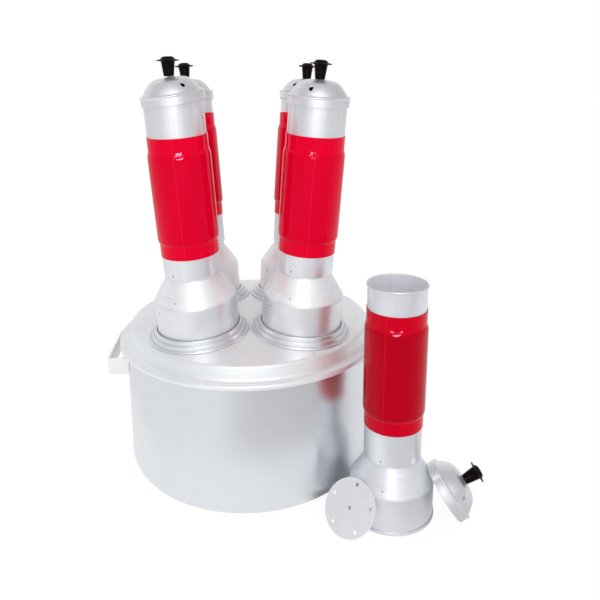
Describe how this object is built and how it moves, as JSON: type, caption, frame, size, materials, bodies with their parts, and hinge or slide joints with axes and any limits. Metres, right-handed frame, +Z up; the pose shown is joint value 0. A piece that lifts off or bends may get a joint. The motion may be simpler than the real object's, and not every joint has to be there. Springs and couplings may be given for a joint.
{
  "type": "puttu steamer",
  "caption": "Aluminium puttu steamer: water pot, domed lid with collars, red-sleeved steaming tubes with knobbed caps, and a spare tube with its cap and perforated disc.",
  "frame": {"origin": "centre of the pot's flat base, on the floor", "axes": "+Z up, -Y to the front, where the picture was taken from, +X to the viewer's right"},
  "size_m": [0.4572, 0.3835, 0.5369],
  "materials": {
    "pot_aluminium": "spun satin",
    "lid_aluminium": "spun satin",
    "tube_aluminium": "satin with fine scratches",
    "disc_aluminium": "matt",
    "handle_aluminium": "satin",
    "steel": "plain",
    "red_sleeve": "glossy shrink sleeve",
    "black_knob": "gloss",
    "cork": "pressed cork"
  },
  "bodies": {
    "pot": {"handle_left": "handle_aluminium", "handle_right": "handle_aluminium", "pot_body": "pot_aluminium", "rivet_left_1": "handle_aluminium", "rivet_left_2": "handle_aluminium", "rivet_left_3": "handle_aluminium", "rivet_left_4": "handle_aluminium", "rivet_right_1": "handle_aluminium", "rivet_right_2": "handle_aluminium", "rivet_right_3": "handle_aluminium", "rivet_right_4": "handle_aluminium"},
    "lid": {"collar_front_left": "lid_aluminium", "collar_front_right": "lid_aluminium", "collar_rear_left": "lid_aluminium", "collar_rear_right": "lid_aluminium", "pot_lid": "lid_aluminium"},
    "steam_tube_front_left": {"bell_front_left": "tube_aluminium", "tube_front_left": "tube_aluminium", "pad_front_left": "cork", "sleeve_front_left": "red_sleeve"},
    "cap_set_front_left": {"cap_front_left": "tube_aluminium", "knob_front_left": "black_knob", "screw_front_left": "steel"},
    "disc_set_front_left": {"disc_front_left": "disc_aluminium"},
    "steam_tube_rear_left": {"bell_rear_left": "tube_aluminium", "tube_rear_left": "tube_aluminium", "pad_rear_left": "cork", "sleeve_rear_left": "red_sleeve"},
    "cap_set_rear_left": {"cap_rear_left": "tube_aluminium", "knob_rear_left": "black_knob", "screw_rear_left": "steel"},
    "disc_set_rear_left": {"disc_rear_left": "disc_aluminium"},
    "steam_tube_front_right": {"bell_front_right": "tube_aluminium", "tube_front_right": "tube_aluminium", "pad_front_right": "cork", "sleeve_front_right": "red_sleeve"},
    "cap_set_front_right": {"cap_front_right": "tube_aluminium", "knob_front_right": "black_knob", "screw_front_right": "steel"},
    "disc_set_front_right": {"disc_front_right": "disc_aluminium"},
    "steam_tube_rear_right": {"bell_rear_right": "tube_aluminium", "tube_rear_right": "tube_aluminium", "pad_rear_right": "cork", "sleeve_rear_right": "red_sleeve"},
    "cap_set_rear_right": {"cap_rear_right": "tube_aluminium", "knob_rear_right": "black_knob", "screw_rear_right": "steel"},
    "disc_set_rear_right": {"disc_rear_right": "disc_aluminium"},
    "steam_tube_spare": {"bell_spare": "tube_aluminium", "tube_spare": "tube_aluminium", "pad_spare": "cork", "sleeve_spare": "red_sleeve"},
    "cap_set_spare": {"cap_spare": "tube_aluminium", "knob_spare": "black_knob", "screw_spare": "steel"},
    "disc_set_spare": {"disc_spare": "disc_aluminium"}
  },
  "joints": [
    {"name": "lid_lift", "type": "slide", "parent": "pot", "child": "lid", "axis": [0, 0, 1], "range_m": [0, 0.08]},
    {"name": "steam_tube_front_left_lift", "type": "slide", "parent": "lid", "child": "steam_tube_front_left", "axis": [-0.066, -0.066, 0.9956], "range_m": [0, 0.1]},
    {"name": "cap_front_left_lift", "type": "slide", "parent": "steam_tube_front_left", "child": "cap_set_front_left", "axis": [-0.1458, -0.0656, 0.9871], "range_m": [0, 0.06]},
    {"name": "disc_front_left_push", "type": "slide", "parent": "steam_tube_front_left", "child": "disc_set_front_left", "axis": [-0.066, -0.066, 0.9956], "range_m": [0, 0.19]},
    {"name": "steam_tube_rear_left_lift", "type": "slide", "parent": "lid", "child": "steam_tube_rear_left", "axis": [-0.066, 0.066, 0.9956], "range_m": [0, 0.1]},
    {"name": "cap_rear_left_lift", "type": "slide", "parent": "steam_tube_rear_left", "child": "cap_set_rear_left", "axis": [-0.066, 0.066, 0.9956], "range_m": [0, 0.06]},
    {"name": "disc_rear_left_push", "type": "slide", "parent": "steam_tube_rear_left", "child": "disc_set_rear_left", "axis": [-0.066, 0.066, 0.9956], "range_m": [0, 0.19]},
    {"name": "steam_tube_front_right_lift", "type": "slide", "parent": "lid", "child": "steam_tube_front_right", "axis": [0.066, -0.066, 0.9956], "range_m": [0, 0.1]},
    {"name": "cap_front_right_lift", "type": "slide", "parent": "steam_tube_front_right", "child": "cap_set_front_right", "axis": [0.066, -0.066, 0.9956], "range_m": [0, 0.06]},
    {"name": "disc_front_right_push", "type": "slide", "parent": "steam_tube_front_right", "child": "disc_set_front_right", "axis": [0.066, -0.066, 0.9956], "range_m": [0, 0.19]},
    {"name": "steam_tube_rear_right_lift", "type": "slide", "parent": "lid", "child": "steam_tube_rear_right", "axis": [0.066, 0.066, 0.9956], "range_m": [0, 0.1]},
    {"name": "cap_rear_right_lift", "type": "slide", "parent": "steam_tube_rear_right", "child": "cap_set_rear_right", "axis": [0.066, 0.066, 0.9956], "range_m": [0, 0.06]},
    {"name": "disc_rear_right_push", "type": "slide", "parent": "steam_tube_rear_right", "child": "disc_set_rear_right", "axis": [0.066, 0.066, 0.9956], "range_m": [0, 0.19]},
    {"name": "steam_tube_spare_away", "type": "slide", "parent": "pot", "child": "steam_tube_spare", "axis": [0.744, -0.6682, 0], "range_m": [0, 0.1]},
    {"name": "cap_spare_away", "type": "slide", "parent": "steam_tube_spare", "child": "cap_set_spare", "axis": [0.8279, -0.0434, 0.5592], "range_m": [0, 0.06]},
    {"name": "disc_spare_away", "type": "slide", "parent": "steam_tube_spare", "child": "disc_set_spare", "axis": [-0.5866, -0.5866, 0.5585], "range_m": [0, 0.06]}
  ]
}
